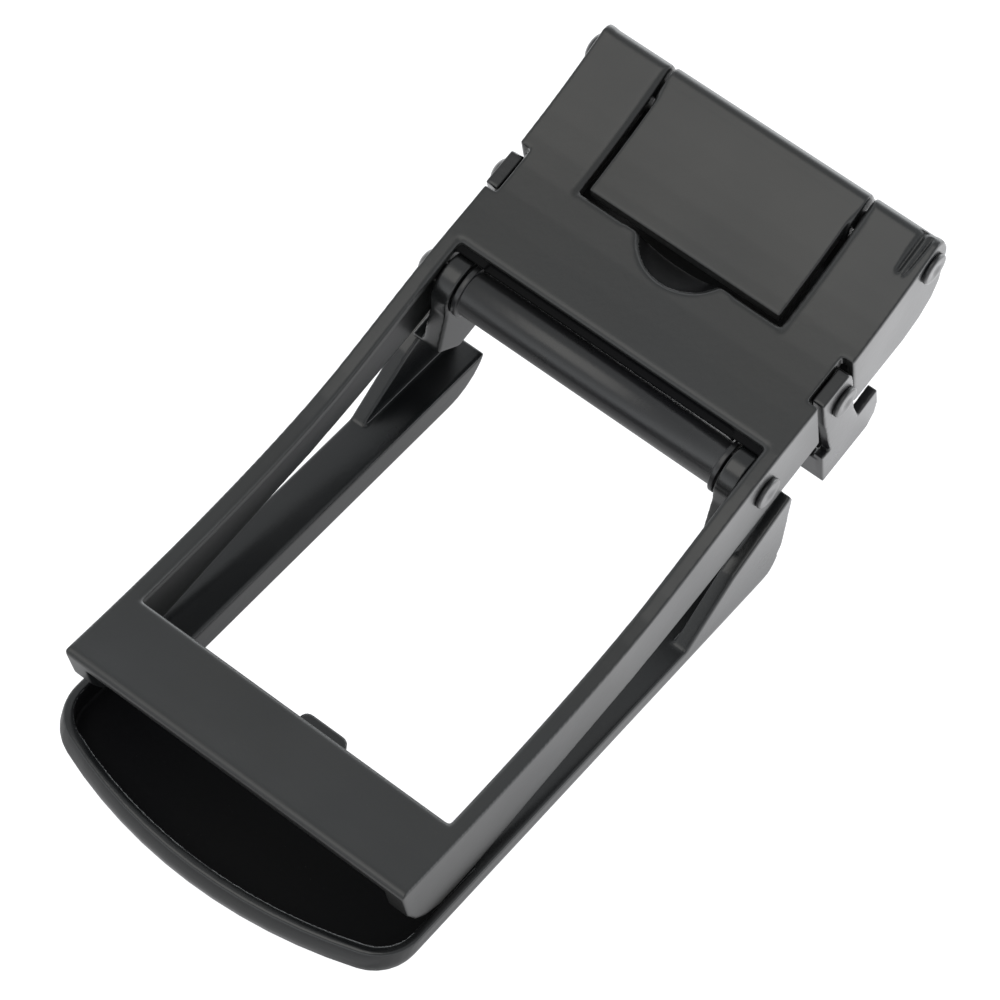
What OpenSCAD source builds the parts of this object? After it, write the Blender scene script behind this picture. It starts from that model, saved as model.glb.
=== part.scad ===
/* [Strap and overall size] */
// Width of the leather strap that the clamp and the tail passage take, mm
strap_w = 31; // [28:0.5:36]
// Width of the carrier over its two side flanges, mm
carrier_w = 40; // [36:0.5:46]
// Length of the carrier plate, crossbar edge to the start of the rolled clamp end, mm
carrier_l = 80.2; // [70:0.1:90]
// Width of the decorative face frame, mm
frame_w = 41.6; // [38:0.2:48]
// Angle between the face frame and the clamp plate when the buckle is closed, degrees
lean = 15.5; // [8:0.5:20]
// Height of the clamp plate's zero line above the front face, at the crossbar end, mm
rise = 8.5; // [7:0.1:10]
// Distance that brings the middle of the buckle's length to the origin, mm
mid_x = 36.43; // [30:0.01:42]

/* [Carrier] */
// Thickness of the clamp plate, mm
plate_t = 1.6; // [1:0.1:2.5]
// Thickness of the side flanges, mm
flange_t = 0.85; // [0.8:0.05:1.6]
// Width of the narrow strip on top of each arm, mm
strip_w = 1.75; // [1.4:0.05:3]
// Thickness of that strip, mm
strip_t = 1.3; // [0.8:0.1:2]
// Width of the crossbar along the buckle, mm
crossbar_l = 8.6; // [6:0.1:12]
// Thickness of the crossbar, mm
crossbar_t = 2; // [1.2:0.1:3]
// Where the window ends and the clamp plate begins, mm from the crossbar edge
window_end = 56.05; // [50:0.05:62]
// Thickness of the clamp floor between the flanges, mm
floor_t = 0.9; // [0.7:0.1:1.5]
// Depth of the top of the clamp floor below the plate's zero line, mm
floor_z = 7.9; // [6:0.1:8]

/* [Clamp flap] */
// Width of the flap plate, mm
flap_w = 22.8; // [18:0.1:26]
// Where the free end of the flap lies, mm from the crossbar edge
flap_start = 67.5; // [64:0.1:72]
// Thickness of the flap plate, mm
flap_t = 1.6; // [1:0.1:2.2]
// Radius of the rolled hinge end, shared by the flap and the carrier, mm
barrel_r = 2.5; // [2:0.1:3.2]
// Number of gripping teeth under the flap
teeth_n = 8; // [4:1:12]
// Gap between the flap and its notch, mm
notch_gap = 0.7; // [0.4:0.1:1.2]
// Radius of the finger notch at the free end of the flap, mm
finger_r = 5.5; // [4:0.1:8]

/* [Hinge pins and roller] */
// Radius of the three hinge pins, mm
pin_r = 1; // [0.7:0.05:1.5]
// Running clearance between a pin and its bore, mm
fit = 0.05; // [0.01:0.01:0.1]
// Radius of the domed pin heads, mm
head_r = 1.7; // [1.4:0.1:2.2]
// Height of the formed heads on the left side, mm
head_h = 1.35; // [0.6:0.05:1.6]
// Height of the flatter, closed heads on the right side, mm
tail_h = 0.5; // [0.3:0.05:1]
// Radius of the roller, mm
roller_r = 2.5; // [1.8:0.05:3]
// Length of the roller, mm
roller_l = 31.6; // [26:0.1:32]

/* [Pawl] */
// Thickness of the pawl's walls, mm
pawl_t = 1.1; // [0.8:0.1:1.6]
// Depth of the pawl's floor below the plate's zero line, mm
pawl_depth = 17.3; // [14:0.1:19]
// How far the pawl's ears stand out of the carrier's sides, mm
proud = 0.3; // [0:0.05:0.6]
// Number of teeth along the pawl's lip
lip_teeth = 14; // [6:1:20]

/* [Face frame] */
// Thickness of the face frame's bars, mm
frame_t = 4; // [3:0.1:5]
// Width of each side bar, mm
bar_w = 5.1; // [4:0.1:7]
// Radius of the bow at the scoop end, mm
bow_r = 50; // [35:1:80]
// Corner radius at the scoop end, mm
corner_r = 5; // [2.5:0.1:6]
// Radius of the rounded front edge, mm
edge_r = 2.2; // [1:0.1:3]
// Wall and floor thickness of the hollow scoop, mm
scoop_t = 1.1; // [0.9:0.1:2]
// Width of the scoop's rim around its hollow, mm
rim_w = 1; // [0.9:0.1:2.4]

// How far the bow's wall leans in at its top, mm
bow_lean = 0.55; // [0:0.05:1]
// Thickness of the ears at the hinge end, mm
ear_t = 1.65; // [1.2:0.05:2.2]
// Thickness of the lugs that ride on the hinge pin, mm
lug_t = 2.1; // [1.6:0.1:3]

/* [Hidden] */

metal = [0.13, 0.13, 0.14];
metal_dark = [0.08, 0.08, 0.09];
metal_mid = [0.2, 0.2, 0.21];

hw = carrier_w / 2;
fw = frame_w / 2;
// hinge points in the plate's own frame: [distance from the crossbar edge, height]
pin_a = [53.7, -3.9];
pin_b = [65.5, -3.9];
pin_c = [carrier_l, 0];
// small corner of the rolled end, above and beyond the pin: [distance, height] and radius
corner_c = [carrier_l + 0.96, 1.63];
corner_e = 1.2;
// slot in the carrier's side for the pawl's ear
slot_0 = 62.2;
slot_1 = 67.7;
notch_x = flap_start - notch_gap;
notch_hw = flap_w / 2 + notch_gap;
// the dish is cut by a ball that meets the plate in a circle of radius finger_r
dish_r = finger_r + 2.6;
dish_z = sqrt(dish_r * dish_r - finger_r * finger_r);
window_hw = hw - strip_w;
// end of the face frame on the hinge side, in the frame that lies on the table
end_x = 57.6;
bow_x = 42.9;

// height of the carrier's top edge above the plate's zero line
function top_z(x) =
  x < 36 ? -1.4 + 7.35 * pow((36 - x) / 36, 1.6) :
  x < 56 ? -1.4 + 1.4 * smooth((x - 36) / 20) :
  x < 60 ? 0 : 2.84 * pow((x - 60) / 21, 2.2);
function smooth(t) = t * t * (3 - 2 * t);
// lowest height that the flanges may reach above the side bars
function low_z(x) = -4.36 - tan(lean) * x;

top_x = [0, 3, 6, 9, 12, 15, 18, 21, 24, 27, 30, 33, 36, 39, 42, 45, 48, 52, 56, 60, 63, 66, 69, 72, 74.5, 77, carrier_l];

// places a body given in the plate's frame onto the lying face frame
module lying() {
  translate([-mid_x, 0, rise])
    rotate([0, -lean, 0])
      children();
}

// extrudes an outline drawn in length and height, from y0 to y1
module side(y0, y1) {
  translate([0, y1, 0])
    rotate([90, 0, 0])
      linear_extrude(y1 - y0)
        children();
}

module both() {
  children();
  mirror([0, 1, 0])
    children();
}

// band under the carrier's top edge between two stations, t thick
module band(x0, x1, t, lift) {
  xs = [for (x = top_x) if (x > x0 + 0.01 && x < x1 - 0.01) x];
  up = [for (x = concat([x0], xs, [x1])) [x, top_z(x) + lift]];
  n = len(up);
  down = [for (i = [0 : n - 1]) [up[n - 1 - i][0], up[n - 1 - i][1] - t]];
  polygon(concat(up, down));
}

// points of an arc about c, from angle a0 to a1
function arc(c, r, a0, a1, n) = [for (i = [0 : n]) let (a = a0 + (a1 - a0) * i / n) [c[0] + r * cos(a), c[1] + r * sin(a)]];

// cross-section of the rolled end: a round about the pin that rises to a smaller corner
module roll_outline(lift) {
  polygon(concat(arc([corner_c[0], corner_c[1] + lift], corner_e, 106, 15, 10), arc(pin_c, barrel_r, 13, -254, 30)));
}

// V-shaped groove of width w between two points of the plate's top
module groove(p0, p1, w) {
  d = [p1[0] - p0[0], p1[1] - p0[1], top_z(p1[0]) - top_z(p0[0])];
  translate([p0[0], p0[1], top_z(p0[0])])
    rotate([45, -atan2(d[2], d[0]), atan2(d[1], d[0])])
      translate([0, -w / 2, -w / 2])
        cube([norm(d), w, w]);
}

// outline of one side flange
module flange_outline() {
  up = [for (x = top_x) [x, top_z(x)]];
  nose = concat(arc(corner_c, corner_e + 0.08, 100, 16, 8), arc(pin_c, barrel_r + 0.08, 14, -15, 3));
  low = [
    [82.2, -2.6], [81.6, -5], [80.4, -6.8], [78.4, -8.1], [75.6, -8.8], [67.8, -8.8],
    [62.2, -8.3], [56, -8.6], [48, -9], [40, -9.1], [32.5, -8.9], [24.7, -8.1], [17, -7.3],
    [12, -6.9], [8.5, -6.55], [6.5, low_z(6.5)], [3.6, low_z(3.6)], [1.8, -3.9], [0.7, -2.2], [0, 0.4]
  ];
  polygon(concat(up, nose, low));
}

// domed head and shaft of a hinge pin lying across the buckle
module pin(p, half, left_h) {
  translate([p[0], 0, p[1]])
    rotate([90, 0, 0])
      union() {
        cylinder(h = 2 * half, r = pin_r, center = true, $fn = 48);
        for (s = [0, 1])
          rotate([180 * (1 - s), 0, 0])
            translate([0, 0, half - 0.01])
              rotate_extrude($fn = 48)
                head_profile(s > 0 ? tail_h : left_h);
      }
}

module head_profile(h) {
  arc = [for (a = [0 : 15 : 75]) [head_r * (0.55 + 0.45 * cos(a)), h * (0.25 + 0.75 * sin(a))]];
  polygon(concat([[0, 0], [head_r, 0]], arc, [[0, h]]));
}

module bore(p, y0, y1) {
  translate([p[0], y1, p[1]])
    rotate([90, 0, 0])
      cylinder(h = y1 - y0, r = pin_r + fit, $fn = 48);
}

// one-piece carrier: crossbar, two bowed arms with side flanges, clamp plate and clamp floor
module carrier() {
  color(metal)
    lying()
      difference() {
        union() {
          side(-hw, hw)
            band(0, crossbar_l, crossbar_t, 0);
          side(-hw, hw)
            band(window_end, carrier_l, plate_t, 0);
          // shelf under the plate's edge, behind the roller, with higher ends behind the collars
          side(-15, 15)
            polygon([
              [window_end + 1.2, -1.3], [window_end - 0.4, -1.38], [window_end - 0.52, -1.46], [window_end - 0.52, -1.78],
              [window_end, -2.34], [window_end + 1.2, -2.7]
            ]);
          both()
            side(14.8, window_hw + 0.2)
              polygon([
                [window_end + 1.2, -0.7], [window_end - 0.38, -0.76], [window_end - 0.46, -0.84], [window_end - 0.46, -1.02],
                [window_end + 0.05, -1.55], [window_end + 1.2, -1.65]
              ]);
          // bowl under the finger dish
          intersection() {
            translate([notch_x + 2.3, 0, dish_z])
              sphere(r = dish_r + 0.55, $fn = 96);
            translate([notch_x - 5, -6, -3])
              cube([5, 12, 2]);
          }
          both()
            side(hw - flange_t, hw)
              flange_outline();
          // thicker front corners under the ends of the crossbar
          both()
            side(hw - 2.4, hw)
              intersection() {
                flange_outline();
                translate([-1, -10])
                  square([5, 20]);
              }
          both()
            side(window_hw, hw)
              band(0, carrier_l, strip_t, 0);
          // rolled end on both sides of the flap
          both()
            side(notch_hw, hw - flange_t / 2)
              roll_outline(0);
          // clamp floor with its upturned edge
          side(-hw + flange_t / 2, hw - flange_t / 2)
            polygon([
              [64, -floor_z - floor_t], [77.6, -floor_z - floor_t], [79.4, -8], [81.1, -6.6],
              [80.6, -6], [78.9, -7.2], [77.2, -floor_z], [64, -floor_z]
            ]);
          // inner ears that carry the pawl pin
          both()
            side(hw - 3.2, hw - 1.7)
              polygon([[63.2, -0.5], [68, -0.5], [68, -floor_z - floor_t], [64, -floor_z - floor_t], [63.2, -7]]);
        }
        // notch for the flap, with a dished recess for a fingertip
        translate([notch_x, -notch_hw, -3.2])
          cube([30, 2 * notch_hw, 10]);
        translate([notch_x + 2.3, 0, dish_z])
          sphere(r = dish_r, $fn = 96);
        // slots in both sides for the pawl's ears
        both()
          translate([slot_0, hw - 1.3, -20])
            cube([slot_1 - slot_0, 5, 30]);
        // two short slanted grooves near the far corner of the plate
        groove([77.2, -18.05], [81.9, -18.2], 0.5);
        groove([77.2, -18.75], [81.5, -19.05], 0.36);
        both()
          bore(pin_a, hw - 2, hw + 1);
        both()
          bore(pin_b, hw - 4, hw - 1);
        bore(pin_c, -hw - 1, hw + 1);
      }
}

// main hinge pin through the flanges, the lugs and the roller
module hinge_pin() {
  color(metal_mid)
    lying()
      pin(pin_a, hw + 0.04, head_h);
}

// pin that the pawl turns on
module pawl_pin() {
  color(metal_mid)
    lying()
      pin(pin_b, hw + proud + 0.04, head_h);
}

// pin in the rolled end that the flap turns on
module flap_pin() {
  color(metal_mid)
    lying()
      pin(pin_c, hw + 0.04, 0.65 * head_h);
}

// flap that closes over the strap end, with its rolled hinge end and gripping teeth
module clamp_flap() {
  fy = flap_w / 2;
  pitch = (flap_w - 3) / teeth_n;
  color(metal)
    lying()
      difference() {
        union() {
          side(-fy, fy)
            band(flap_start, carrier_l, flap_t, 0.1);
          side(-fy - 0.3, fy + 0.3)
            roll_outline(0.1);
          // row of teeth that bites into the strap
          side(-fy + 1, fy - 1)
            polygon([[75.2, 0.9], [78.4, 0.9], [77.8, -1], [76.3, -1]]);
          for (i = [0 : teeth_n - 1])
            translate([0, -fy + 1.5 + pitch * (i + 0.5), 0])
              side(-pitch * 0.36, pitch * 0.36)
                polygon([[76.3, -0.9], [77.8, -0.9], [77.2, -2.4], [76.7, -2.4]]);
        }
        bore(pin_c, -fy - 2, fy + 2);
      }
}

// spring-loaded pawl: a trough hanging from its pin, with a toothed lip facing the roller
module pawl() {
  z0 = -pawl_depth;
  lip_w = carrier_w - 0.8;
  pitch = (strap_w - 1) / lip_teeth;
  color(metal_dark)
    lying()
      difference() {
        union() {
          both()
            side(hw + proud - pawl_t, hw + proud)
              polygon([
                [62.6, -0.3], [66.7, -0.3], [67.2, -1.4], [67.3, -9], [67.9, -12], [71, -11.6],
                [71.1, -14.4], [70.6, -16.1], [69.4, z0], [62, z0], [62.1, -11.8], [63.4, -12.1],
                [63.1, -9.4], [63, -7.8], [62.7, -4.5]
              ]);
          // thicker tops of the ears, which fill the slots
          both()
            side(hw - 1.1, hw + proud)
              polygon([[62.6, -0.3], [66.7, -0.3], [67.2, -1.4], [67.25, -5.2], [62.72, -5.2], [62.7, -4.5]]);
          translate([62, -lip_w / 2, z0])
            cube([8, lip_w, pawl_t]);
          translate([62, -lip_w / 2, z0])
            cube([pawl_t, lip_w, 4.6]);
          for (i = [0 : lip_teeth - 1])
            translate([0, -strap_w / 2 + 0.5 + pitch * (i + 0.5), 0])
              side(-pitch * 0.34, pitch * 0.34)
                polygon([[62, z0 + 4.4], [62 + pawl_t, z0 + 4.4], [62.7, -11.8], [62.3, -11.8]]);
        }
        bore(pin_b, -hw - 2, hw + 2);
      }
}

// loose roller on the hinge pin, with a collar at each end
module roller() {
  color(metal_dark)
    lying()
      translate([pin_a[0], 0, pin_a[1]])
        rotate([90, 0, 0])
          difference() {
            union() {
              cylinder(h = roller_l - 1, r = roller_r, center = true, $fn = 64);
              for (s = [-1, 1])
                translate([0, 0, s * (roller_l / 2 - 0.3)])
                  cylinder(h = 0.6, r = roller_r + 0.4, center = true, $fn = 64);
            }
            cylinder(h = roller_l + 2, r = pin_r + fit, center = true, $fn = 48);
          }
}

// plan outline of the face frame, drawn inwards by inset, with the bow moved back by shift
function frame_plan(inset, shift) =
  let (bow_x = bow_x + shift,
       cy = fw - corner_r,
       far = bow_r - corner_r,
       cx = bow_x - sqrt(far * far - cy * cy),
       tilt = asin(cy / far),
       bow = [for (i = [-6 : 6]) [bow_x - (bow_r - inset) * cos(tilt * i / 6), (bow_r - inset) * sin(tilt * i / 6)]],
       turn = [for (i = [1 : 6]) let (a = 180 - tilt - (90 - tilt) * i / 6) [cx + (corner_r - inset) * cos(a), cy + (corner_r - inset) * sin(a)]],
       back = [for (i = [0 : 5]) [turn[5 - i][0], -turn[5 - i][1]]])
  concat(back, bow, turn, [[end_x, fw - inset], [end_x, -fw + inset]]);

// filled body of the frame with its rounded front edge, stacked from plan outlines
module frame_body() {
  step = [for (a = [0 : 22.5 : 90]) [edge_r * (1 - sin(a)), edge_r * (1 - cos(a))]];
  top = [for (i = [1 : 3]) [0, edge_r + (frame_t - edge_r) * i / 3, bow_lean * pow(i / 3, 2)]];
  rings = concat([for (s = step) [s[0], s[1], 0]], top);
  n = len(frame_plan(0, 0));
  m = len(rings);
  pts = [for (r = rings) for (p = frame_plan(r[0], r[2])) [p[0], p[1], r[1]]];
  walls = [for (k = [0 : m - 2]) for (i = [0 : n - 1]) let (j = (i + 1) % n) each [[k * n + i, k * n + j, k * n + n + j], [k * n + i, k * n + n + j, k * n + n + i]]];
  caps = [[for (i = [0 : n - 1]) n - 1 - i], [for (i = [0 : n - 1]) (m - 1) * n + i]];
  intersection() {
    polyhedron(points = pts, faces = concat(walls, caps), convexity = 4);
    side(-30, 30)
      polygon(concat([[-20, -1], [end_x - 5.5, -1]], [for (a = [-90 : 15 : 0]) [end_x - 5.5 + 5.5 * cos(a), 5.5 + 5.5 * sin(a)]], [[end_x, 20], [-20, 20]]));
  }
}

// decorative front: bowed hollow scoop, two side bars, ears, and lugs on the hinge pin
module face_frame() {
  inner = fw - bar_w;
  color(metal)
    union() {
      translate([-mid_x, 0, 0])
        difference() {
          union() {
            frame_body();
            both()
              side(fw - ear_t, fw)
                polygon([[41.6, 3.5], [48.8, 9.6], [57, 14.2], [57.5, 13.4], [end_x, 5.5], [56.9, 3.7], [55.2, 2.2], [52.1, 2.1]]);
          }
          // open middle
          difference() {
            translate([12, -inner, -1])
              cube([60, 2 * inner, 30]);
            // tab with rounded corners in the middle of the scoop's inner edge
            translate([0, 0, frame_t - 1.8])
              linear_extrude(1.8)
                polygon(concat([[9, 2.75]], arc([12.5, 1.85], 0.9, 90, 0, 5), arc([12.5, -1.85], 0.9, 0, -90, 5), [[9, -2.75]]));
          }
          // hollow of the scoop
          translate([0, 0, scoop_t])
            linear_extrude(20)
              intersection() {
                polygon(frame_plan(rim_w, bow_lean));
                translate([-20, -30])
                  square([30.6, 60]);
              }
        }
      lying()
        difference() {
          union() {
            both()
              translate([pin_a[0], strap_w / 2 + 0.5 + lug_t, pin_a[1]])
                rotate([90, 0, 0])
                  cylinder(h = lug_t, r = 3.1, $fn = 64);
            both()
              side(strap_w / 2 + 0.5, strap_w / 2 + 0.5 + lug_t)
                polygon([[50.7, -2.8], [50.4, -5], [48.6, -9.5], [48.5, -10.1], [51.2, -13.3], [56, -13], [56.8, -9.6], [56.6, -5.2], [55.6, -3]]);
            both()
              side(strap_w / 2 + 0.5, fw - ear_t + 0.2)
                polygon([[48.6, -9.5], [48.5, -10.1], [51.2, -13.3], [56, -13], [56.8, -9.6]]);
          }
          both()
            bore(pin_a, strap_w / 2 - 1, hw + 1);
        }
    }
}

carrier();
hinge_pin();
pawl_pin();
flap_pin();
clamp_flap();
pawl();
roller();
face_frame();
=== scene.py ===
"""Ratchet belt buckle in satin black metal, seen from its back as it lies on its front face.

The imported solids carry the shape. Each of the four cast parts gets a skin: the solid's surface laid anew as
an even net and softened, which gives it the small rounded edges of a cast and lacquered part. The pins and
the roller are turned anew. Blender's lengths are metres. Sizes are named in millimetres where a comment says
so, and repeat those of the solids.
"""
import math

import bmesh
import bpy
import numpy as np
from mathutils import Matrix


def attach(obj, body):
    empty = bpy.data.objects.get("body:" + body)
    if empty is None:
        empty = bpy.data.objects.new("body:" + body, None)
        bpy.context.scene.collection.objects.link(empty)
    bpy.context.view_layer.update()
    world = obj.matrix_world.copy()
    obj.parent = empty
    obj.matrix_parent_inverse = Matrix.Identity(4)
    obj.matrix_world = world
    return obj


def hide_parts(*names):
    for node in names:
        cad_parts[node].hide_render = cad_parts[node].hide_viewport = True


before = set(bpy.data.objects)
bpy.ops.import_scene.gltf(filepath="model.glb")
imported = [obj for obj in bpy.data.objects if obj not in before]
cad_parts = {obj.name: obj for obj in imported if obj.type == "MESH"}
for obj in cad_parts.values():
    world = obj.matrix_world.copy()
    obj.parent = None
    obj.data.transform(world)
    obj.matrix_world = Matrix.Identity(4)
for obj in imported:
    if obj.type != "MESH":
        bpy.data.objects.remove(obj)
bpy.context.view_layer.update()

MM = 0.001

# Camera of the photo: place, picture directions and lens, worked out from the plate's edges
EYE = (-0.20754, -0.12441, 0.36651)
PICTURE_RIGHT = (0.613298, -0.785023, 0.087202)
PICTURE_UP = (0.620383, 0.547098, 0.561969)
LENS = 162.44

# How the plate of the carrier leans, and where its own frame lies in the shared one
LEAN = math.radians(15.5)
MIDDLE = 36.43 * MM
RISE = 8.5 * MM
# Turns from the plate's own frame, and from the face frame's, into the shared frame
PLATE_TURN = Matrix.Translation((-MIDDLE, 0, RISE)) @ Matrix.Rotation(-LEAN, 4, "Y")
FACE_TURN = Matrix.Translation((-MIDDLE, 0, 0))

# Sizes of the carrier in millimetres: X from the crossbar's outer edge, Z from the plate's zero line
HALF_WIDTH = 20
CROSSBAR_L = 8.6
WINDOW_END = 56.05
WINDOW_HALF = 18.25
SHELF_HALF = 14.7
NOTCH_X = 66.8
NOTCH_HALF = 12.1
FINGER_R = 5.5
DISH_R = FINGER_R + 2.6
DISH_Z = math.sqrt(DISH_R ** 2 - FINGER_R ** 2)
DISH_X = NOTCH_X + 2.3
# Its top edge: arms that rise to the crossbar ahead of ARM_X, an easing over EASE_L to the flat plate, and a
# clamp end that curls up from CURL_X
ARM_X = 36
ARM_LOW = -1.4
ARM_RISE = 7.35
EASE_L = 20
CURL_X = 60
CURL_L = 21
CURL_RISE = 2.84
# Radii of its edges in millimetres. From PLATE_X on the window's edge is the plate's
PLATE_X = 50
CROSSBAR_FRONT_ROUND = 0.9
CROSSBAR_BACK_ROUND = 0.35
ARM_ROUND = 0.45
PLATE_FRONT_ROUND = 0.6
DISH_ROUND = 0.3
NOTCH_END_ROUND = 0.6
NOTCH_SIDE_ROUND = 0.8
# The two slanted grooves near a corner of the clamp plate: start, end, half width and depth in millimetres
GROOVES = (((76.6, -17.95), (82.1, -18.05), 0.62, 0.26),
           ((76.8, -18.72), (81.8, -19.04), 0.42, 0.22))

# Sizes of the face frame's hollow scoop in millimetres
HOLLOW_END = 10.55
HOLLOW_HALF = 20
HOLLOW_LOW = 0.7
RIM_W = 1
BOW_LEAN = 0.55
BOW_X = 42.9
BOW_R = 50
CORNER_R = 5
CORNER_Y = 15.8
CORNER_X = BOW_X - math.sqrt((BOW_R - CORNER_R) ** 2 - CORNER_Y ** 2)

# Sizes of the pins and the roller in millimetres
SHAFT_R = 1.0
BORE_R = 1.05
HEAD_R = 1.7
LEFT_HEAD = 1.35
FLAP_PIN_LEFT_HEAD = 0.8775
RIGHT_HEAD = 0.5
HEAD_GAP = 0.04
EAR_PROUD = 0.3
ROLLER_R = 2.5
COLLAR_R = 2.9
ROLLER_L = 31.6
# Pin lines, in metres: place along the buckle and height
PIN_A = (0.016359, 0.019093)
PIN_B = (0.02773, 0.022246)
PIN_C = (0.040853, 0.029933)

# Points nearer than this are one point, in metres
SAME_PLACE = 2e-6

# Light of the floor: strength of its glow at two places along the buckle, and the share of it that is left in
# a painted shade, a box in the glow under the buckle, which fades out between two distances from the middle.
# Places and distances are in metres
FLOOR_HALF = 1.5
GLOW_ENDS = (-0.074, 0.05)
FLOOR_GLOW = (0.15, 1.7)
SHADE = 0.35
SHADE_FADES = (("X", 0.041, 0.043), ("Y", 0.0195, 0.0265))
# Strength of the studio's walls at the zenith and the horizon, and of the window
ZENITH = 0.52
HORIZON = 1.3
WINDOW = 3.0
WALL_COLOUR = (0.95, 0.98, 1.0)


def share_socket(tree, name, default):
    """Adds a named input between 0 and 1 to a shader group."""
    socket = tree.interface.new_socket(name, in_out="INPUT", socket_type="NodeSocketFloat")
    socket.default_value = default
    socket.min_value = 0.0
    socket.max_value = 1.0


def new_group(name):
    """Starts a shader group with its input and output nodes."""
    tree = bpy.data.node_groups.new(name, "ShaderNodeTree")
    tree.nodes.new("NodeGroupInput").location = (-900, 0)
    tree.nodes.new("NodeGroupOutput").location = (700, 0)
    return tree


def noise(tree, scale, detail, roughness=0.5):
    """Places a noise texture on Object coordinates, with scale cycles to the metre."""
    node = tree.nodes.new("ShaderNodeTexNoise")
    node.inputs["Scale"].default_value = scale
    node.inputs["Detail"].default_value = detail
    node.inputs["Roughness"].default_value = roughness
    coords = tree.nodes.new("ShaderNodeTexCoord")
    tree.links.new(coords.outputs["Object"], node.inputs["Vector"])
    return node


def remap(tree, source, low, high, to_low, to_high):
    """Places a clamped map range after a number."""
    node = tree.nodes.new("ShaderNodeMapRange")
    node.inputs["From Min"].default_value = low
    node.inputs["From Max"].default_value = high
    node.inputs["To Min"].default_value = to_low
    node.inputs["To Max"].default_value = to_high
    tree.links.new(source, node.inputs["Value"])
    return node


def lacquer_group():
    """Lacquer surface: a faint orange peel as height, slow drifts of gloss, and sparse dust."""
    tree = new_group("lacquer surface")
    share_socket(tree, "Gloss drift", 0.05)
    share_socket(tree, "Base roughness", 0.3)
    share_socket(tree, "Dust", 0.3)
    for name in ("Roughness", "Dust mask", "Tone", "Height"):
        tree.interface.new_socket(name, in_out="OUTPUT", socket_type="NodeSocketFloat")
    inlet, outlet = tree.nodes[0], tree.nodes[1]
    link = tree.links.new

    slow = noise(tree, 70, 3)
    drift = tree.nodes.new("ShaderNodeMath")
    drift.operation = "MULTIPLY_ADD"
    centred = remap(tree, slow.outputs["Fac"], 0.3, 0.7, -1, 1)
    link(centred.outputs[0], drift.inputs[0])
    link(inlet.outputs["Gloss drift"], drift.inputs[1])
    link(inlet.outputs["Base roughness"], drift.inputs[2])
    link(drift.outputs[0], outlet.inputs["Roughness"])

    specks = noise(tree, 2600, 2, 0.6)
    spots = remap(tree, specks.outputs["Fac"], 0.71, 0.78, 0, 1)
    patches = remap(tree, noise(tree, 140, 2).outputs["Fac"], 0.45, 0.7, 0, 1)
    gathered = tree.nodes.new("ShaderNodeMath")
    gathered.operation = "MULTIPLY"
    link(spots.outputs[0], gathered.inputs[0])
    link(patches.outputs[0], gathered.inputs[1])
    amount = tree.nodes.new("ShaderNodeMath")
    amount.operation = "MULTIPLY"
    link(gathered.outputs[0], amount.inputs[0])
    link(inlet.outputs["Dust"], amount.inputs[1])
    link(amount.outputs[0], outlet.inputs["Dust mask"])

    tone = remap(tree, noise(tree, 45, 2).outputs["Fac"], 0.3, 0.7, 0, 1)
    link(tone.outputs[0], outlet.inputs["Tone"])

    peel = noise(tree, 1500, 3, 0.55)
    link(peel.outputs["Fac"], outlet.inputs["Height"])
    return tree


LACQUER = lacquer_group()
GLOSS_DRIFT = 0.04
DUST_GREY = (0.2, 0.2, 0.19)
PEEL_HEIGHT = 0.04 * MM


def black_metal(name, warm, cool, roughness, peel, dust, ior):
    """Black lacquered metal whose tone drifts between a warm and a cool near-black, with a little dust."""
    material = bpy.data.materials.new(name)
    material.use_nodes = True
    tree = material.node_tree
    shader = tree.nodes["Principled BSDF"]
    link = tree.links.new
    surface = tree.nodes.new("ShaderNodeGroup")
    surface.node_tree = LACQUER
    surface.inputs["Base roughness"].default_value = roughness
    surface.inputs["Gloss drift"].default_value = GLOSS_DRIFT
    surface.inputs["Dust"].default_value = dust

    tone = tree.nodes.new("ShaderNodeMix")
    tone.data_type = "RGBA"
    tone.inputs["A"].default_value = (*warm, 1)
    tone.inputs["B"].default_value = (*cool, 1)
    link(surface.outputs["Tone"], tone.inputs["Factor"])
    dusty = tree.nodes.new("ShaderNodeMix")
    dusty.data_type = "RGBA"
    dusty.inputs["B"].default_value = (*DUST_GREY, 1)
    link(surface.outputs["Dust mask"], dusty.inputs["Factor"])
    link(tone.outputs["Result"], dusty.inputs["A"])
    link(dusty.outputs["Result"], shader.inputs["Base Color"])
    link(surface.outputs["Roughness"], shader.inputs["Roughness"])

    bump = tree.nodes.new("ShaderNodeBump")
    bump.inputs["Distance"].default_value = PEEL_HEIGHT
    bump.inputs["Strength"].default_value = peel
    link(surface.outputs["Height"], bump.inputs["Height"])
    link(bump.outputs["Normal"], shader.inputs["Normal"])

    shader.inputs["IOR"].default_value = ior
    return material


PLATE_BLACK = black_metal("satin black plate", (0.013, 0.013, 0.012), (0.011, 0.012, 0.013),
                          roughness=0.34, peel=0.25, dust=0.1, ior=1.65)
FACE_BLACK = black_metal("glossy black face", (0.008, 0.008, 0.008), (0.007, 0.008, 0.009),
                         roughness=0.24, peel=0.2, dust=0.1, ior=1.65)
# The black for recesses is painted shade: darker and duller, with little shine, for places where shade falls
PAINTED_SHADE_BLACK = black_metal("black with painted shade for recesses", (0.005, 0.005, 0.005), (0.004, 0.004, 0.005),
                           roughness=0.6, peel=0.4, dust=0.2, ior=1.18)
MOVING_BLACK = black_metal("satin black moving parts", (0.011, 0.011, 0.011), (0.010, 0.010, 0.012),
                           roughness=0.3, peel=0.3, dust=0.15, ior=1.65)
PIN_BLACK = black_metal("dark rivet metal", (0.014, 0.014, 0.014), (0.012, 0.012, 0.014),
                        roughness=0.32, peel=0.5, dust=0.2, ior=1.65)


def paint(piece, material):
    """Gives a piece one material."""
    piece.data.materials.clear()
    piece.data.materials.append(material)


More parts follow.
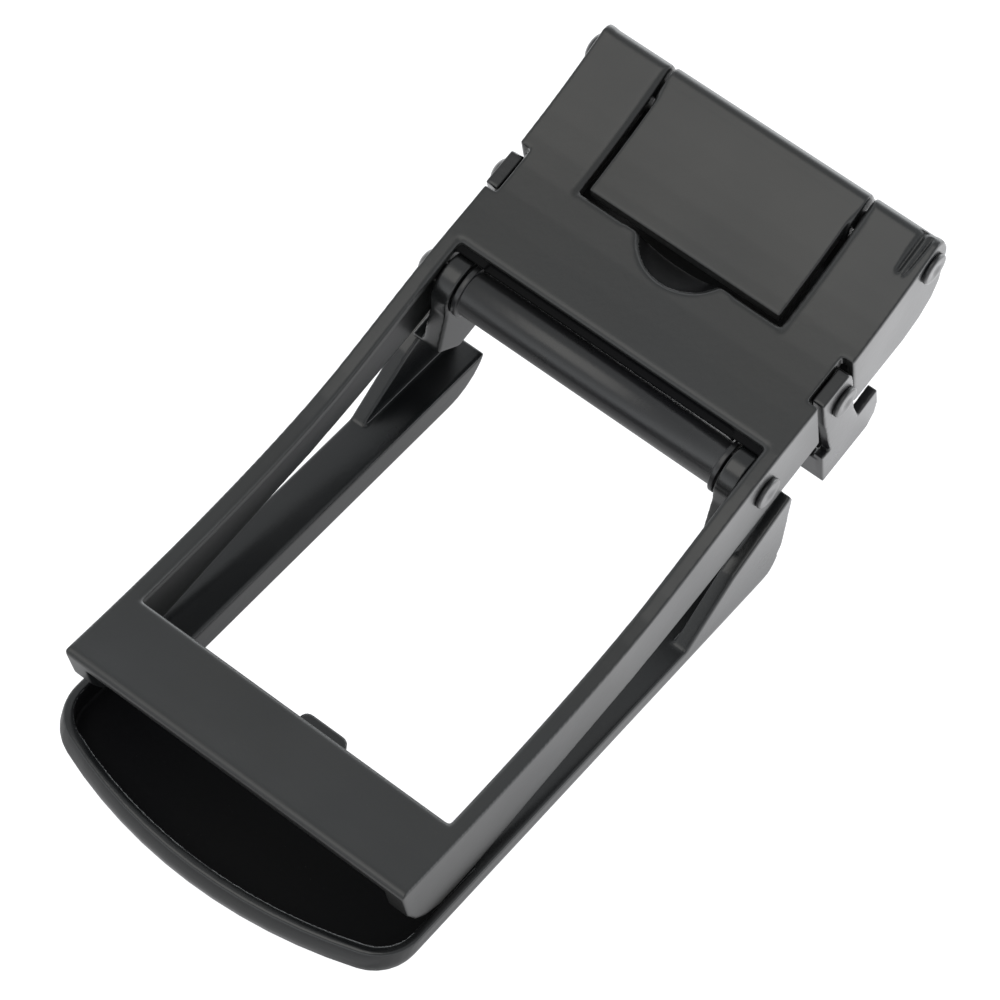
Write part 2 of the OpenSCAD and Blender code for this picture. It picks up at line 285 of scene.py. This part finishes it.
def mean_of_neighbours(points, edges, count):
    """Average place of the neighbours of every point, from the list of edges."""
    out = np.empty_like(points)
    first, second = edges[:, 0], edges[:, 1]
    for axis in range(3):
        out[:, axis] = (np.bincount(first, points[second, axis], len(points))
                        + np.bincount(second, points[first, axis], len(points))) / count
    return out


def soften(points, edges, rounds):
    """Moves every point half the way to the mean of its neighbours, rounds times over."""
    count = np.bincount(edges.ravel(), minlength=len(points))
    for _ in range(rounds):
        points = points + 0.5 * (mean_of_neighbours(points, edges, count) - points)
    return points


def round_edge(points, depth_a, inward_a, depth_b, inward_b, radius):
    """Rounds the edge between two faces by radius, which may differ from point to point.

    depth_a and depth_b are a point's depths below the two faces. In the corner where both are less than the
    radius, a point further than the radius from the rounding's centre line is pulled in to that distance.
    """
    a = radius - depth_a
    b = radius - depth_b
    far = np.hypot(a, b)
    move = (a > 0) & (b > 0) & (far > radius) & (radius > 0)
    share = np.where(move, 1 - radius / np.maximum(far, 1e-9), 0)[:, None]
    return points + share * (a[:, None] * inward_a + b[:, None] * inward_b)


def from_box(x, y, low_x, high_x, half_y):
    """Distance in plan from a rectangle that is centred on the middle line, and the way that leads off it."""
    off_x = np.where(x < low_x, x - low_x, np.where(x > high_x, x - high_x, 0))
    off_y = np.sign(y) * np.maximum(np.abs(y) - half_y, 0)
    gap = np.hypot(off_x, off_y)
    safe = np.maximum(gap, 1e-9)
    return gap, np.column_stack([off_x / safe, off_y / safe, np.zeros(len(x))])


def top_height(x):
    """Height of the carrier's top over its zero line at distances x from the crossbar's outer edge.

    Along the arms it falls from the crossbar with the power 1.6 of the distance that is left to ARM_X, then
    eases up to the flat plate. Over the clamp end it rises with the power 2.2 of the distance from CURL_X.
    """
    ease = np.clip((x - ARM_X) / EASE_L, 0, 1)
    arms = ARM_LOW + ARM_RISE * (np.clip(ARM_X - x, 0, None) / ARM_X) ** 1.6
    arms = arms - ARM_LOW * ease * ease * (3 - 2 * ease)
    return np.where(x < CURL_X, arms, CURL_RISE * (np.clip(x - CURL_X, 0, None) / CURL_L) ** 2.2)


def depth_below_top(points):
    """Depth of points below the carrier's top, and a great depth for what stands clear over it."""
    depth = top_height(points[:, 0]) - points[:, 2]
    return np.where(depth > -0.2, depth, 9)


def carrier_shape(points):
    """Rounds the crossbar's front edge, the edges round the window, and the flap's notch with its dish."""
    ahead = np.broadcast_to((1.0, 0.0, 0.0), points.shape)
    down = np.broadcast_to((0.0, 0.0, -1.0), points.shape)
    points = round_edge(points, depth_below_top(points), down, points[:, 0], ahead, CROSSBAR_FRONT_ROUND)
    x, y = points[:, 0], points[:, 1]
    gap, outward = from_box(x, y, CROSSBAR_L, WINDOW_END, WINDOW_HALF)
    by_crossbar, by_plate = x < CROSSBAR_L + 0.3, x > PLATE_X
    radius = np.where(by_plate, PLATE_FRONT_ROUND, np.where(by_crossbar, CROSSBAR_BACK_ROUND, ARM_ROUND))
    points = round_edge(points, depth_below_top(points), down, gap, outward, radius)
    x, y = points[:, 0], points[:, 1]
    gap, outward = from_box(x, y, NOTCH_X, np.inf, NOTCH_HALF)
    by_dish, by_side = np.abs(y) < FINGER_R + 1, np.abs(y) > NOTCH_HALF
    radius = np.where(by_dish, DISH_ROUND, np.where(by_side, NOTCH_SIDE_ROUND, NOTCH_END_ROUND))
    return shelf_forward(round_edge(points, depth_below_top(points), down, gap, outward, radius))


def at_window_end(x, y, z, ahead, behind, low, high):
    """Tells which places lie by the window's end, between two distances from it and between two heights."""
    in_length = (x > WINDOW_END + ahead) & (x < WINDOW_END + behind)
    return in_length & (z > low) & (z < high) & (np.abs(y) < WINDOW_HALF)


def shelf_forward(points):
    """Sets the edge of the shelf behind the roller forward, by as much as softening draws a thin edge back.

    Its end ledges are set forward by more, so that no light falls through beside the roller's collars.
    """
    x, y, z = points.T
    edge = at_window_end(x, y, z, ahead=-0.8, behind=-0.2, low=-2.1, high=-0.65)
    forward = np.where(np.abs(y) > SHELF_HALF, 0.32, 0.14)
    return points - np.outer(edge * forward, (1.0, 0.0, 0.0))


def groove(points, start, end, half, deep):
    """Presses a groove into the plate's top from start to end, half wide to each side and deep in its middle.

    Its depth falls off across it with the power 1.3 of the share of the half width that is left. It swells
    from nothing at its start to its full depth and width halfway, and ends short.
    """
    along = np.subtract(end, start)
    length = np.hypot(*along)
    along = along / length
    off = points[:, :2] - start
    run = off @ along
    across = np.abs(off @ np.array([-along[1], along[0]]))
    on_top = points[:, 2] > top_height(points[:, 0]) - 0.6
    swell = np.clip(run / (0.5 * length), 0, 1) * np.clip((length - run) / 0.3, 0, 1)
    near = np.clip(1 - across / np.maximum(half * (0.4 + 0.6 * swell), 1e-6), 0, 1)
    points[:, 2] -= np.where(on_top, deep * swell * near ** 1.3, 0)
    return points


def carrier_grooves(points):
    """Presses the two slanted grooves in, near a far corner of the clamp plate."""
    for start, end, half, deep in GROOVES:
        points = groove(points, start, end, half, deep)
    return points


def in_face_painted_shade(x, y, z):
    """Tells which places get painted shade, a darker, duller black: the hollow of the scoop, to just past the
    inner edge of its rim.
    """
    inner_x, margin = x - BOW_LEAN, 0.12
    in_bow = np.hypot(inner_x - BOW_X, y) < BOW_R - RIM_W + margin
    from_corner = np.hypot(inner_x - CORNER_X, np.abs(y) - CORNER_Y)
    in_corner = (inner_x > CORNER_X) | (np.abs(y) < CORNER_Y) | (from_corner < CORNER_R - RIM_W + margin)
    return (x < HOLLOW_END) & (np.abs(y) < HOLLOW_HALF) & (z > HOLLOW_LOW) & in_bow & in_corner


def in_carrier_painted_shade(x, y, z):
    """Tells which places get painted shade, a darker, duller black: the shelf behind the roller and the dish
    for a fingertip.
    """
    shelf = at_window_end(x, y, z, ahead=-1, behind=1.2, low=-3, high=-0.55)
    off = np.hypot(x - DISH_X, y)
    on_ball = np.abs(np.hypot(off, z - DISH_Z) - DISH_R) < 0.15
    return shelf | (on_ball & (off < FINGER_R - 0.25) & (x < NOTCH_X))


def as_it_stands(piece):
    """Mesh of a piece with its modifiers worked in, after which they are taken off."""
    bpy.context.view_layer.update()
    mesh = bpy.data.meshes.new_from_object(piece.evaluated_get(bpy.context.evaluated_depsgraph_get()))
    piece.modifiers.clear()
    return mesh


def cast_skin(node, name, body, material, grain, rounds, keep, shape=None, finish=None, recess=None,
              level=PLATE_TURN):
    """Skin of a cast and lacquered part: a solid's surface, laid anew as an even net and softened.

    The net's meshes are grain wide, in millimetres. shape(points) may round chosen edges further before the
    rounds of softening, and finish(points) presses fine marks in after them, both in millimetres in the
    part's own frame, which level turns into the shared one. Softening gives every other edge the small round
    of a casting. At last flat places keep fewer faces, down to the share keep of them all. Faces whose
    middle is in the recess get painted shade: a second black that is darker and duller.
    """
    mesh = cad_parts[node].data.copy()
    work = bmesh.new()
    work.from_mesh(mesh)
    bmesh.ops.remove_doubles(work, verts=work.verts, dist=SAME_PLACE)
    work.to_mesh(mesh)
    work.free()
    mesh.transform(level.inverted())
    piece = bpy.data.objects.new(name, mesh)
    bpy.context.scene.collection.objects.link(piece)
    net = piece.modifiers.new("even net", "REMESH")
    net.mode = "VOXEL"
    net.voxel_size = grain * MM
    laid = as_it_stands(piece)
    points = np.empty(len(laid.vertices) * 3)
    laid.vertices.foreach_get("co", points)
    edges = np.empty(len(laid.edges) * 2, dtype=np.int64)
    laid.edges.foreach_get("vertices", edges)
    points, edges = points.reshape(-1, 3) / MM, edges.reshape(-1, 2)
    if shape is not None:
        points = shape(points)
    points = soften(points, edges, rounds)
    if finish is not None:
        points = finish(points)
    laid.vertices.foreach_set("co", (points * MM).ravel())
    piece.data = laid
    thin = piece.modifiers.new("fewer faces", "DECIMATE")
    thin.ratio = keep
    laid = as_it_stands(piece)
    laid.name = name
    piece.data = laid
    paint(piece, material)
    # Painted shade: faces whose middle is in the recess get the darker, duller black
    if recess is not None:
        middles = np.empty(len(laid.polygons) * 3)
        laid.polygons.foreach_get("center", middles)
        laid.materials.append(PAINTED_SHADE_BLACK)
        shaded = recess(*middles.reshape(-1, 3).T / MM)
        laid.polygons.foreach_set("material_index", shaded.astype(np.int32))
    laid.transform(level)
    laid.shade_smooth()
    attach(piece, body)
    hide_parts(node)


def turned(name, pin, profile, node, body, material, around=72):
    """Turned piece: a closed profile of distance along the pin and radius, carried round the pin's line.

    A profile that starts on the line is left open there, so that its two ends close in a point each.
    """
    profile = np.array(profile) * MM
    angle = np.linspace(0, 2 * math.pi, around, endpoint=False)
    x = pin[0] + profile[:, 1, None] * np.cos(angle)[None, :]
    z = pin[1] + profile[:, 1, None] * np.sin(angle)[None, :]
    y = np.broadcast_to(profile[:, 0, None], x.shape)
    rows, columns = x.shape
    grid = np.arange(rows * columns).reshape(rows, columns)
    after = np.roll(grid, -1, axis=1)
    last = rows if profile[0, 1] > 1e-6 else rows - 1
    below = np.roll(grid, -1, axis=0)[:last]
    below_after = np.roll(after, -1, axis=0)[:last]
    quads = np.stack([grid[:last], below, below_after, after[:last]], axis=-1).reshape(-1, 4)
    mesh = bpy.data.meshes.new(name)
    mesh.from_pydata(np.stack([x, y, z], axis=-1).reshape(-1, 3).tolist(), [], quads.tolist())
    work = bmesh.new()
    work.from_mesh(mesh)
    bmesh.ops.remove_doubles(work, verts=work.verts, dist=SAME_PLACE)
    bmesh.ops.recalc_face_normals(work, faces=work.faces)
    for face in work.faces:
        face.smooth = True
    work.to_mesh(mesh)
    work.free()
    piece = bpy.data.objects.new(name, mesh)
    bpy.context.scene.collection.objects.link(piece)
    paint(piece, material)
    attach(piece, body)
    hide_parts(node)


def round_corner(centre, radius, start, end, steps):
    """Points of a quarter or other arc about centre, in millimetres, from start to end in degrees."""
    angle = np.radians(np.linspace(start, end, steps + 1))
    return [(centre[0] + radius * math.cos(a), centre[1] + radius * math.sin(a)) for a in angle]


def pin_profile(half, left_height, right_height):
    """Shaft of a pin from -half to half, with a domed head on the left (+Y) and a flatter one on the right.

    The dome's radius falls off with the power 0.72 of a cosine. The right head has a round rim and a dimple.
    """
    left_round, right_round, rim = 0.14, 0.12, 0.25
    left = [(half, SHAFT_R), (half, HEAD_R - 0.12)]
    left += round_corner((half + left_round, HEAD_R - left_round), left_round, 180, 90, 3)
    dome = np.radians(np.linspace(8, 90, 10))
    left += [(half + left_round + (left_height - left_round) * math.sin(a), HEAD_R * math.cos(a) ** 0.72)
             for a in dome[:-1]]
    left += [(half + left_height, 0.0)]
    end = -half - right_height
    right = [(-half, SHAFT_R), (-half, HEAD_R - 0.1)]
    right += round_corner((-half - right_round, HEAD_R - right_round), right_round, 0, 90, 3)
    right += round_corner((end + rim, HEAD_R - rim), rim, 90, 180, 5)
    right += [(end, 0.75), (end + 0.08, 0.45), (end + 0.12, 0.0)]
    return left[::-1] + right


def roller_profile():
    """Roller section: long barrel with a rounded collar at each end, and the bore through it."""
    half, collar, edge = ROLLER_L / 2, 0.6, 0.14
    side = [(half - 0.12, BORE_R), (half, BORE_R + 0.12)]
    side += round_corner((half - edge, COLLAR_R - edge), edge, 0, 90, 4)
    side += round_corner((half - collar + edge, COLLAR_R - edge), edge, 90, 180, 4)
    side += [(half - collar, ROLLER_R + 0.08), (half - collar - 0.08, ROLLER_R)]
    return side + [(-y, r) for y, r in reversed(side)]


# The scoop's hollow, the shelf behind the roller and the fingertip dish get painted shade
cast_skin("face_frame", "face_frame_skin", "face", FACE_BLACK, grain=0.14, rounds=6, keep=0.35,
          recess=in_face_painted_shade, level=FACE_TURN)
cast_skin("carrier", "carrier_skin", "carrier", PLATE_BLACK, grain=0.13, rounds=6, keep=0.2,
          shape=carrier_shape, finish=carrier_grooves, recess=in_carrier_painted_shade)
cast_skin("clamp_flap", "clamp_flap_skin", "flap", PLATE_BLACK, grain=0.11, rounds=12,
          keep=0.5)
cast_skin("pawl", "pawl_skin", "pawl", MOVING_BLACK, grain=0.13, rounds=4, keep=0.4)
for name, place, proud, left_head in (("hinge_pin", PIN_A, 0, LEFT_HEAD),
                                      ("pawl_pin", PIN_B, EAR_PROUD, LEFT_HEAD),
                                      ("flap_pin", PIN_C, 0, FLAP_PIN_LEFT_HEAD)):
    profile = pin_profile(HALF_WIDTH + proud + HEAD_GAP, left_head, RIGHT_HEAD)
    turned(name + "_turned", place, profile, name, "carrier", PIN_BLACK)
turned("roller_turned", PIN_A, roller_profile(), "roller", "roller", MOVING_BLACK, around=96)


def floor():
    """Pale matt floor that glows a little, as a lit studio table does.

    What the camera sees of it is an even white. The light that it gives the buckle grows from the scoop end
    to the clamp end, because the window of the studio is behind the clamp end, and is weak in a painted
    shade: a box in the glow under the buckle, which reaches a little past its sides.
    """
    mesh = bpy.data.meshes.new("floor")
    corners = [(x * FLOOR_HALF, y * FLOOR_HALF, 0) for x, y in ((-1, -1), (1, -1), (1, 1), (-1, 1))]
    mesh.from_pydata(corners, [], [(0, 1, 2, 3)])
    plane = bpy.data.objects.new("floor", mesh)
    bpy.context.scene.collection.objects.link(plane)
    material = bpy.data.materials.new("pale floor")
    material.use_nodes = True
    tree = material.node_tree
    shader = tree.nodes["Principled BSDF"]
    shader.inputs["Base Color"].default_value = (0.3, 0.3, 0.3, 1)
    shader.inputs["Roughness"].default_value = 0.9
    shader.inputs["Emission Color"].default_value = (0.985, 0.985, 1, 1)
    coords = tree.nodes.new("ShaderNodeTexCoord")
    split = tree.nodes.new("ShaderNodeSeparateXYZ")
    tree.links.new(coords.outputs["Object"], split.inputs["Vector"])
    glow = remap(tree, split.outputs["X"], *GLOW_ENDS, *FLOOR_GLOW)
    # Painted shade under the buckle: the glow falls to the share SHADE inside a box round it
    outside = []
    for axis, low, high in SHADE_FADES:
        apart = tree.nodes.new("ShaderNodeMath")
        apart.operation = "ABSOLUTE"
        tree.links.new(split.outputs[axis], apart.inputs[0])
        outside.append(remap(tree, apart.outputs[0], low, high, SHADE, 1.0))
    lit = tree.nodes.new("ShaderNodeMath")
    lit.operation = "MAXIMUM"
    tree.links.new(outside[0].outputs[0], lit.inputs[0])
    tree.links.new(outside[1].outputs[0], lit.inputs[1])
    given = tree.nodes.new("ShaderNodeMath")
    given.operation = "MULTIPLY"
    tree.links.new(glow.outputs[0], given.inputs[0])
    tree.links.new(lit.outputs[0], given.inputs[1])
    seen = tree.nodes.new("ShaderNodeLightPath")
    choice = tree.nodes.new("ShaderNodeMix")
    choice.inputs["B"].default_value = 1.0
    tree.links.new(seen.outputs["Is Camera Ray"], choice.inputs["Factor"])
    tree.links.new(given.outputs[0], choice.inputs["A"])
    tree.links.new(choice.outputs["Result"], shader.inputs["Emission Strength"])
    mesh.materials.append(material)


def softbox(name, place, aim, size, power, colour):
    """Square area light at place, turned towards aim."""
    light = bpy.data.lights.new(name, "AREA")
    light.shape = "SQUARE"
    light.size = size
    light.energy = power
    light.color = colour
    lamp = bpy.data.objects.new(name, light)
    bpy.context.scene.collection.objects.link(lamp)
    back = np.subtract(place, aim).astype(float)
    back /= np.linalg.norm(back)
    side = np.cross((0, 1, 0) if abs(back[2]) > 0.9 else (0, 0, 1), back)
    side /= np.linalg.norm(side)
    turn = Matrix(np.column_stack([side, np.cross(back, side), back]).tolist()).to_4x4()
    turn.translation = place
    lamp.matrix_world = turn


def world_light():
    """Even studio light whose strength runs from horizon to zenith with the height of the direction.

    A window low behind the clamp end adds its own strength, fading out to its sides and upwards.
    """
    world = bpy.data.worlds.new("studio")
    world.use_nodes = True
    tree = world.node_tree
    background = tree.nodes["Background"]
    background.inputs["Color"].default_value = (*WALL_COLOUR, 1)
    coords = tree.nodes.new("ShaderNodeTexCoord")
    split = tree.nodes.new("ShaderNodeSeparateXYZ")
    tree.links.new(coords.outputs["Generated"], split.inputs["Vector"])
    height = remap(tree, split.outputs["Z"], 0.0, 0.75, HORIZON, ZENITH)
    height.interpolation_type = "SMOOTHSTEP"
    low = remap(tree, split.outputs["Z"], 0.2, 0.72, WINDOW, 0.0)
    behind = remap(tree, split.outputs["X"], 0.3, 0.9, 0.0, 1.0)
    pane = tree.nodes.new("ShaderNodeMath")
    pane.operation = "MULTIPLY_ADD"
    tree.links.new(low.outputs[0], pane.inputs[0])
    tree.links.new(behind.outputs[0], pane.inputs[1])
    tree.links.new(height.outputs[0], pane.inputs[2])
    tree.links.new(pane.outputs[0], background.inputs["Strength"])
    bpy.context.scene.world = world


floor()
world_light()
softbox("overhead softbox", (-0.3, 0.12, 0.75), (0, 0, 0), size=0.6, power=1.2, colour=(1.0, 0.98, 0.93))
bpy.context.scene.view_settings.view_transform = "Standard"

camera = bpy.data.cameras.new("photo camera")
camera.lens = LENS
camera.sensor_width = 36
camera.clip_start = 0.01
camera.clip_end = 20
eye = bpy.data.objects.new("photo camera", camera)
bpy.context.scene.collection.objects.link(eye)
away = np.cross(PICTURE_RIGHT, PICTURE_UP)
pose = Matrix(np.column_stack([PICTURE_RIGHT, PICTURE_UP, away]).tolist()).to_4x4()
pose.translation = EYE
eye.matrix_world = pose
bpy.context.scene.camera = eye
